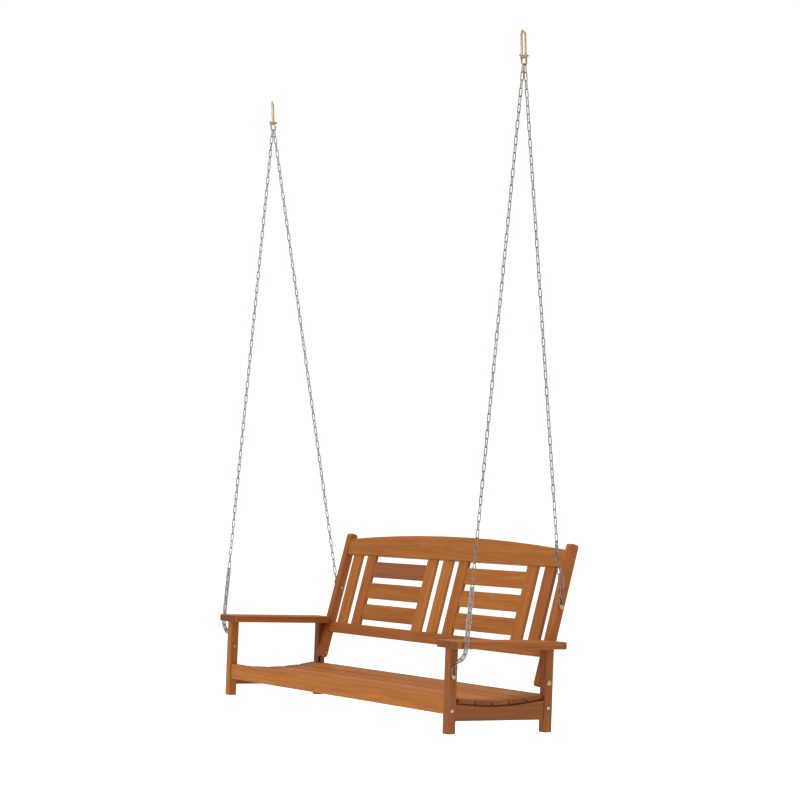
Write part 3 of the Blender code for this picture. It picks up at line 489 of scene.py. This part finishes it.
def clearPvc():
    material, tree, shader = newMaterial("clear extruded soft PVC",
                                         {"IOR": sleeveSet["bending"],
                                          "Transmission Weight": sleeveSet["clearness"]})
    coordinates = addNode(tree, "ShaderNodeTexCoord", {})
    place = addNode(tree, "ShaderNodeMapping",
                    {"vector_type": "TEXTURE", "Scale": sleeveSet["drawLine"]},
                    {"Vector": coordinates.outputs["Object"]})
    drawLines = addNode(tree, "ShaderNodeTexNoise", {"Scale": 1.0, "Detail": 2.0},
                        {"Vector": place.outputs["Vector"]})
    cloud = addNode(tree, "ShaderNodeTexNoise", {"Scale": sleeveSet["cloudScale"], "Detail": 3.0},
                    {"Vector": coordinates.outputs["Object"]})
    colour = addNode(tree, "ShaderNodeMix",
                     {"data_type": "RGBA", 6: hexToLinear(sleeveSet["tint"]),
                      7: hexToLinear(sleeveSet["mist"])},
                     {0: cloud.outputs["Fac"]})
    low, high = sleeveSet["roughness"]
    dullness = addNode(tree, "ShaderNodeMapRange", {"To Min": low, "To Max": high},
                       {"Value": cloud.outputs["Fac"]})
    relief = addNode(tree, "ShaderNodeBump",
                     {"Strength": sleeveSet["relief"], "Distance": sleeveSet["reliefDeep"]},
                     {"Height": drawLines.outputs["Fac"]})
    tree.links.new(colour.outputs[2], shader.inputs["Base Color"])
    tree.links.new(dullness.outputs["Result"], shader.inputs["Roughness"])
    tree.links.new(relief.outputs["Normal"], shader.inputs["Normal"])
    return material


def makeSleeve(side, material):
    line = barLine(f"chain_front_{side}")
    low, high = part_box(f"chain_sleeve_{side}")
    count = int(lineLength(line) / sleeveSet["step"])
    stations = [pointOnLine(line, sleeveSet["step"] * index) for index in range(count)]
    inside = [(point, along) for point, along in stations
              if low.z + sleeveSet["lowTrim"] < point.z < high.z - sleeveSet["highTrim"]]
    bm = bmesh.new()
    skins = []
    facets = sleeveSet["facets"]
    for radius in (sleeveSet["outer"], sleeveSet["outer"] - sleeveSet["wall"]):
        rings = []
        for index, (point, along) in enumerate(inside):
            across = along.cross(Vector((0, 1, 0))).normalized()
            other = along.cross(across)
            flat = 1 - sleeveSet["ovalShare"] * (0.5 + 0.5 * math.sin(index * sleeveSet["ovalStep"]))
            ring = []
            for step in range(facets):
                angle = 2 * math.pi * step / facets
                spoke = across * math.cos(angle) * flat + other * math.sin(angle)
                ring.append(bm.verts.new(point + spoke * radius))
            rings.append(ring)
        skins.append(rings)
    outer, inner = skins
    for near, far in [*zip(outer, outer[1:]), *zip(inner, inner[1:]), (outer[0], inner[0]),
                      (outer[-1], inner[-1])]:
        for step in range(facets):
            after = (step + 1) % facets
            bm.faces.new((near[step], near[after], far[after], far[step]))
    sleeve = addPiece(f"sleeve_{side}_tube", bm, material)
    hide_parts(f"chain_sleeve_{side}")
    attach(sleeve, "swing")


pvc = clearPvc()
for side in sides:
    makeSleeve(side, pvc)
print("sleeves: 2")


loopSet = {"wire": 0.0035, "halfWidth": 0.016, "length": 0.085, "weldSwell": 0.10, "weldMm": 4.5,
           "turnDegrees": {"left": -24, "right": -14}, "bendSteps": 16, "sideSteps": 9, "facets": 20}
shackleSet = {"wire": 0.003, "halfWidth": 0.009, "reach": 0.030, "eye": 0.0055, "eyeWide": 0.006,
              "pin": 0.0026, "collar": 0.0045, "collarLong": 0.0035, "tail": 0.0055,
              "tailRadius": 0.0015, "threadEnd": 0.004, "threadPitch": 0.0008, "threadDepth": 0.0003,
              "eyeEdge": 0.0006, "play": 0.0003, "pinEdge": 0.0005, "tipLong": 0.0004, "tipShare": 0.6,
              "tailEdge": 0.0006, "tailTip": 0.5, "bendSteps": 24, "bowFacets": 20, "turnFacets": 28}


def middleOf(nodeName):
    low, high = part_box(nodeName)
    return (low + high) / 2


def finishHardware(piece, slotName, body, *replaced):
    if replaced:
        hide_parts(*replaced)
    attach(piece, body)


def makeLoop(side):
    turn = math.radians(loopSet["turnDegrees"][side])
    across = Vector((math.cos(turn), math.sin(turn), 0))
    middle = middleOf(f"hanging_loop_{side}")
    straight = loopSet["length"] - 2 * loopSet["halfWidth"]
    flat = ovalLine(loopSet["halfWidth"], straight, loopSet["bendSteps"])
    line = stepSides(flat, loopSet["bendSteps"], loopSet["sideSteps"])
    radii = weldRadii(line, loopSet, -1, straight)
    points = [middle + across * x + Vector((0, 0, y - straight / 2)) for x, y in line]
    bm = bmesh.new()
    sweepWire(bm, points, radii, True, loopSet["facets"])
    loop = addPiece(f"hanging_loop_{side}_rod", bm, yellowZinc)
    finishHardware(loop, "yellow_zinc_steel", "hanging_loops", f"hanging_loop_{side}")


def threadProfile(start, end, radius, pitch, depth):
    # a row of small ridges between two distances along a bolt
    profile = []
    turns = max(int(abs(end - start) / pitch), 1)
    for turn in range(turns):
        base = start + (end - start) * turn / turns
        step = (end - start) / turns
        profile += [(base, radius - depth), (base + step / 2, radius)]
    return profile + [(end, radius - depth)]


def makeShackle(side):
    size = shackleSet
    low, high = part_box(f"shackle_pin_{side}")
    pinPlace = Vector(((low.x + high.x) / 2, 0, (low.z + high.z) / 2))
    backward = Vector((0, 1, 0))
    straight = size["reach"] - size["halfWidth"]
    bm = bmesh.new()
    points = [pinPlace + backward * -size["halfWidth"]]
    for step in range(size["bendSteps"] + 1):
        angle = math.pi + math.pi * step / size["bendSteps"]
        points.append(pinPlace + Vector((0, size["halfWidth"] * math.cos(angle),
                                         size["halfWidth"] * math.sin(angle) - straight)))
    points.append(pinPlace + backward * size["halfWidth"])
    sweepWire(bm, points, size["wire"], False, size["bowFacets"])
    half, edge = size["eyeWide"] / 2, size["eyeEdge"]
    for place in (-size["halfWidth"], size["halfWidth"]):
        profile = [(-half, size["pin"]), (-half, size["eye"] - edge), (edge - half, size["eye"]),
                   (half - edge, size["eye"]), (half, size["eye"] - edge), (half, size["pin"])]
        turnProfile(bm, profile, pinPlace + backward * place, backward, size["turnFacets"], True)
    bow = addPiece(f"shackle_bow_{side}_bar", bm, yellowZinc)
    finishHardware(bow, "yellow_zinc_steel", "swing", f"shackle_bow_{side}")

    reach = size["halfWidth"] + half + size["play"]
    tailEnd = reach + size["collarLong"] + size["tail"]
    collarEnd = reach + size["collarLong"]
    edge = size["pinEdge"]
    profile = [(-reach - size["threadEnd"] - size["tipLong"], size["pin"] * size["tipShare"])]
    profile += threadProfile(-reach - size["threadEnd"], -reach, size["pin"], size["threadPitch"],
                             size["threadDepth"])
    profile += [(-reach, size["pin"]), (reach, size["pin"]), (reach, size["collar"] - edge),
                (reach + edge, size["collar"]), (collarEnd - edge, size["collar"]),
                (collarEnd, size["collar"] - edge), (collarEnd, size["tailRadius"]),
                (tailEnd - size["tailEdge"], size["tailRadius"]),
                (tailEnd, size["tailRadius"] * size["tailTip"])]
    bm = bmesh.new()
    turnProfile(bm, profile, pinPlace, backward, size["turnFacets"])
    pin = addPiece(f"shackle_pin_{side}_pin", bm, yellowZinc)
    softenEdges(pin, 0.0001, 1, 40)
    finishHardware(pin, "yellow_zinc_steel", "swing", f"shackle_pin_{side}")


for side in sides:
    makeLoop(side)
    makeShackle(side)
print("hanging loops and shackles: 2 of each")


ringSet = {"wire": 0.002, "halfWidth": 0.006, "length": 0.022, "bendSteps": 12, "facets": 16}
boltSet = {"radius": 0.003, "head": 0.0085, "headHigh": 0.0035, "socket": 0.0024, "socketDeep": 0.0018,
           "threadLong": 0.012, "threadShare": 0.6, "threadPitch": 0.001, "threadDepth": 0.00028,
           "tipLong": 0.0004, "tipShare": 0.7}
nutSet = {"flats": 0.010, "high": 0.005, "play": 0.0002, "lead": 0.0003, "leadDeep": 0.0004,
          "cornerShare": 0.9, "cornerDeep": 0.0006, "rounding": 0.00025}
headSet = {"edge": 0.0003, "socketLip": 0.0004, "domeSteps": 7, "socketTip": 0.3, "facets": 28,
           "rounding": 0.0001, "roundingAngle": 50, "offFace": 0.00005}


def ringLean(place, side):
    # the ring lies in a plane across X; a rear ring's lean comes from the box around it
    if place == "front":
        return 0.0
    low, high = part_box(f"hanger_ring_{place}_{side}")
    across = ringSet["halfWidth"] + ringSet["wire"]
    return math.asin(min((high.y - low.y - 2 * across) / ringSet["length"], 1.0))


def makeRing(place, side):
    nodeName = f"hanger_ring_{place}_{side}"
    lean = ringLean(place, side)
    middle = middleOf(nodeName)
    up = Vector((0, -math.sin(lean), math.cos(lean)))
    across = Vector((0, math.cos(lean), math.sin(lean)))
    flat = ovalLine(ringSet["halfWidth"], ringSet["length"], ringSet["bendSteps"])
    points = [middle + across * x + up * (y - ringSet["length"] / 2) for x, y in flat]
    bm = bmesh.new()
    sweepWire(bm, points, ringSet["wire"], True, ringSet["facets"])
    ring = addPiece(f"{nodeName}_wire", bm, zincWithPaintedReflection)
    finishHardware(ring, "bright_zinc_steel", "swing", nodeName)


def headProfile(radius, high, socket, socketDeep):
    # from under the head outwards, over the dome and down into its round-bottomed socket
    edge, steps = headSet["edge"], headSet["domeSteps"]
    profile = [(0.0, radius - edge), (edge, radius)]
    for step in range(1, steps):
        angle = math.pi / 2 * step / steps
        profile.append((edge + (high - edge) * math.sin(angle),
                        socket + (radius - socket) * math.cos(angle)))
    profile += [(high, socket + headSet["socketLip"]), (high - edge, socket), (high - socketDeep, socket),
                (high - socketDeep - edge, socket * headSet["socketTip"])]
    return profile


def makeBolt(nodeName, outward, slotName):
    # the top of the head lies on the outer face of the CAD bolt, and the tip on its inner face
    size = boltSet
    low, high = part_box(nodeName)
    middle = (low + high) / 2
    outer, inner = (high.x, low.x) if outward > 0 else (low.x, high.x)
    headFace = outer - outward * size["headHigh"]
    length = abs(headFace - inner)
    threadStart = min(size["threadLong"], length * size["threadShare"])
    profile = [(-length, size["radius"] * size["tipShare"])]
    profile += threadProfile(-length + size["tipLong"], -length + threadStart, size["radius"],
                             size["threadPitch"], size["threadDepth"])
    profile += [(-length + threadStart, size["radius"]), (0.0, size["radius"])]
    profile += headProfile(size["head"], size["headHigh"], size["socket"], size["socketDeep"])
    bm = bmesh.new()
    axis = Vector((outward, 0, 0))
    turnProfile(bm, profile, Vector((headFace, middle.y, middle.z)), axis, headSet["facets"])
    bolt = addPiece(f"{nodeName}_screw", bm, yellowZinc)
    softenEdges(bolt, headSet["rounding"], 1, headSet["roundingAngle"])
    finishHardware(bolt, slotName, "swing", nodeName)


def makeNut(nodeName, outward):
    size = nutSet
    low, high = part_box(nodeName)
    corner = size["flats"] / math.sqrt(3)
    half = size["high"] / 2
    bore = boltSet["radius"] + size["play"]
    lead = bore + size["lead"]
    narrow = corner * size["cornerShare"]
    profile = [(-half, lead), (-half, narrow), (size["cornerDeep"] - half, corner),
               (half - size["cornerDeep"], corner), (half, narrow), (half, lead),
               (half - size["leadDeep"], bore), (size["leadDeep"] - half, bore)]
    bm = bmesh.new()
    turnProfile(bm, profile, (low + high) / 2, Vector((outward, 0, 0)), 6, True)    # a hexagon
    nut = addPiece(f"{nodeName}_hex", bm, boltZinc, False)
    softenEdges(nut, size["rounding"])
    finishHardware(nut, "bright_zinc_steel", "swing", nodeName)


def makeHangers():
    for side, sign in sides.items():
        for place in ("front", "rear"):
            makeRing(place, side)
            makeBolt(f"hanger_bolt_{place}_{side}", sign, "yellow_zinc_steel")
            makeNut(f"hanger_nut_{place}_{side}", sign)
        makeBolt(f"stile_bolt_{side}", sign, "bright_zinc_steel")
    print("hangers: 4 rings, 6 bolts, 4 nuts")


makeHangers()

# bolts that hold the seat rails to the posts: height above the foot of the post
railBoltSet = {"front": 0.072, "rear": 0.077, "postHalfHigh": 0.1323, "headRadius": 0.0055,
               "headHigh": 0.0022, "socket": 0.0019, "socketDeep": 0.0012, "shank": 0.020,
               "shankRadius": 0.002}


def makeRailBolts():
    size = railBoltSet
    for side, sign in sides.items():
        for place in ("front", "rear"):
            low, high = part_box(f"post_{place}_{side}")
            face = high.x if sign > 0 else low.x
            middle = (low + high) / 2 + benchUp * (size[place] - size["postHalfHigh"])
            profile = [(-size["shank"], size["shankRadius"]), (headSet["offFace"], size["shankRadius"])]
            profile += headProfile(size["headRadius"], size["headHigh"], size["socket"], size["socketDeep"])
            bm = bmesh.new()
            turnProfile(bm, profile, Vector((face, middle.y, middle.z)), Vector((sign, 0, 0)),
                        headSet["facets"])
            bolt = addPiece(f"rail_bolt_{place}_{side}", bm, boltZinc)
            softenEdges(bolt, headSet["rounding"], 1, headSet["roundingAngle"])
            finishHardware(bolt, "bright_zinc_steel", "swing")
    print("rail bolts: 4")


makeRailBolts()

# the screw that holds each armrest to its stile has its head in a deep hole in the outer edge
armScrewSet = {"fromRear": 0.010, "armLong": 0.415, "hole": 0.0042, "deep": 0.020, "pastFace": 0.004,
               "shank": 0.012, "shankRadius": 0.0018, "head": 0.0036, "headHigh": 0.0018,
               "socket": 0.0014, "socketDeep": 0.0012}


def makeArmScrews():
    size = armScrewSet
    for side, sign in sides.items():
        low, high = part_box(f"armrest_{side}")
        face = high.x if sign > 0 else low.x
        along = size["armLong"] / 2 - size["fromRear"]
        middle = (low + high) / 2 + benchBack * along
        middle.x = face
        outward = Vector((sign, 0, 0))
        bm = bmesh.new()
        turnProfile(bm, [(-size["deep"], size["hole"]), (size["pastFace"], size["hole"])], middle, outward,
                    headSet["facets"])
        cutter = addPiece(f"hole_{side}", bm, zincWithPaintedReflection)
        board = bpy.data.objects[f"armrest_{side}_board"]
        cut = board.modifiers.new("screw hole", "BOOLEAN")
        cut.object = cutter
        bpy.context.view_layer.update()
        depsgraph = bpy.context.evaluated_depsgraph_get()
        board.data = bpy.data.meshes.new_from_object(board.evaluated_get(depsgraph))
        board.modifiers.clear()
        bpy.data.objects.remove(cutter)
        bm = bmesh.new()
        profile = [(-size["deep"] - size["shank"], size["shankRadius"]),
                   (headSet["offFace"] - size["deep"], size["shankRadius"])]
        head = headProfile(size["head"], size["headHigh"], size["socket"], size["socketDeep"])
        profile += [(out - size["deep"], radius) for out, radius in head]
        turnProfile(bm, profile, middle, outward, headSet["facets"])
        screw = addPiece(f"arm_screw_{side}", bm, zincWithPaintedReflection)
        finishHardware(screw, "bright_zinc_steel", "swing")
    print("armrest screws: 2")


makeArmScrews()

# the floor glows as seen, to melt into the white behind, but throws little light upwards
floorSet = {"height": -2.62, "size": 60.0, "colour": "#F6F5F3", "mottle": "#FBFAF8",
            "mottleScale": 3.0, "roughness": 0.9, "seenGlow": 0.72, "glow": 0.18}


def makeFloor():
    # matt painted screed: almost white, with a faint mottle
    material, tree, shader = newMaterial("matt white painted screed",
                                         {"Roughness": floorSet["roughness"],
                                          "Emission Color": hexToLinear("#FFFFFF")})
    path = addNode(tree, "ShaderNodeLightPath", {})
    glow = addNode(tree, "ShaderNodeMapRange",
                   {"To Min": floorSet["glow"], "To Max": floorSet["seenGlow"]},
                   {"Value": path.outputs["Is Camera Ray"]})
    tree.links.new(glow.outputs["Result"], shader.inputs["Emission Strength"])
    coordinates = addNode(tree, "ShaderNodeTexCoord", {})
    mottle = addNode(tree, "ShaderNodeTexNoise", {"Scale": floorSet["mottleScale"], "Detail": 4.0},
                     {"Vector": coordinates.outputs["Object"]})
    colour = addNode(tree, "ShaderNodeMix",
                     {"data_type": "RGBA", 6: hexToLinear(floorSet["colour"]),
                      7: hexToLinear(floorSet["mottle"])},
                     {0: mottle.outputs["Fac"]})
    tree.links.new(colour.outputs[2], shader.inputs["Base Color"])
    bm = bmesh.new()
    half = floorSet["size"] / 2
    corners = [bm.verts.new((x, y, floorSet["height"]))
               for x, y in ((-half, -half), (half, -half), (half, half), (-half, half))]
    bm.faces.new(corners)
    floor = addPiece("floor", bm, material, False)


def makeLight(name, place, aim, size, power, colour):
    data = bpy.data.lights.new(name, "AREA")
    data.shape = "RECTANGLE"
    data.size, data.size_y = size
    data.energy = power
    data.color = hexToLinear(colour)[:3]
    light = bpy.data.objects.new(name, data)
    light.location = place
    light.rotation_euler = (Vector(aim) - Vector(place)).to_track_quat("-Z", "Y").to_euler()
    bpy.context.collection.objects.link(light)


lightSet = {
    "key": {"place": (0.4, -6.8, 1.0), "size": (4.5, 3.0), "power": 175, "colour": "#FFF6EA"},
    "side": {"place": (5.6, 0.4, -0.4), "size": (2.4, 3.0), "power": 23, "colour": "#F6F6FF"},
    "top": {"place": (0.0, 0.9, 2.2), "size": (3.4, 3.0), "power": 112, "colour": "#FFFFFF"},
}
lightAim = (0, 0, -1.9)    # the middle of the bench
roomSet = {"colour": "#EDEFF2", "strength": 0.55, "seenColour": "#FFFFFF", "seenStrength": 1.0}


def makeWorld():
    # the camera sees plain white; the swing is lit by a softer grey room
    world = bpy.data.worlds.new("studio")
    bpy.context.scene.world = world
    world.use_nodes = True
    tree = world.node_tree
    tree.nodes.clear()
    path = addNode(tree, "ShaderNodeLightPath", {})
    room = addNode(tree, "ShaderNodeBackground",
                   {"Color": hexToLinear(roomSet["colour"]), "Strength": roomSet["strength"]})
    seen = addNode(tree, "ShaderNodeBackground",
                   {"Color": hexToLinear(roomSet["seenColour"]), "Strength": roomSet["seenStrength"]})
    either = addNode(tree, "ShaderNodeMixShader", {},
                     {0: path.outputs["Is Camera Ray"], 1: room.outputs[0], 2: seen.outputs[0]})
    addNode(tree, "ShaderNodeOutputWorld", {}, {"Surface": either.outputs[0]})


def makeCamera():
    data = bpy.data.cameras.new("camera")
    data.lens = cameraSet["lensMm"]
    data.sensor_width = cameraSet["sensorMm"]
    camera = bpy.data.objects.new("camera", data)
    camera.location = cameraSet["place"]
    aim = (Vector(cameraSet["lookAt"]) - camera.location).to_track_quat("-Z", "Y")
    roll = Quaternion((0, 0, 1), math.radians(cameraSet["rollDegrees"]))
    camera.rotation_euler = (aim @ roll).to_euler()
    bpy.context.collection.objects.link(camera)
    bpy.context.scene.camera = camera


makeFloor()
for name, light in lightSet.items():
    makeLight(name, light["place"], lightAim, light["size"], light["power"], light["colour"])
makeWorld()
makeCamera()
bpy.context.scene.view_settings.view_transform = "Standard"
print("stage, lights and camera set")
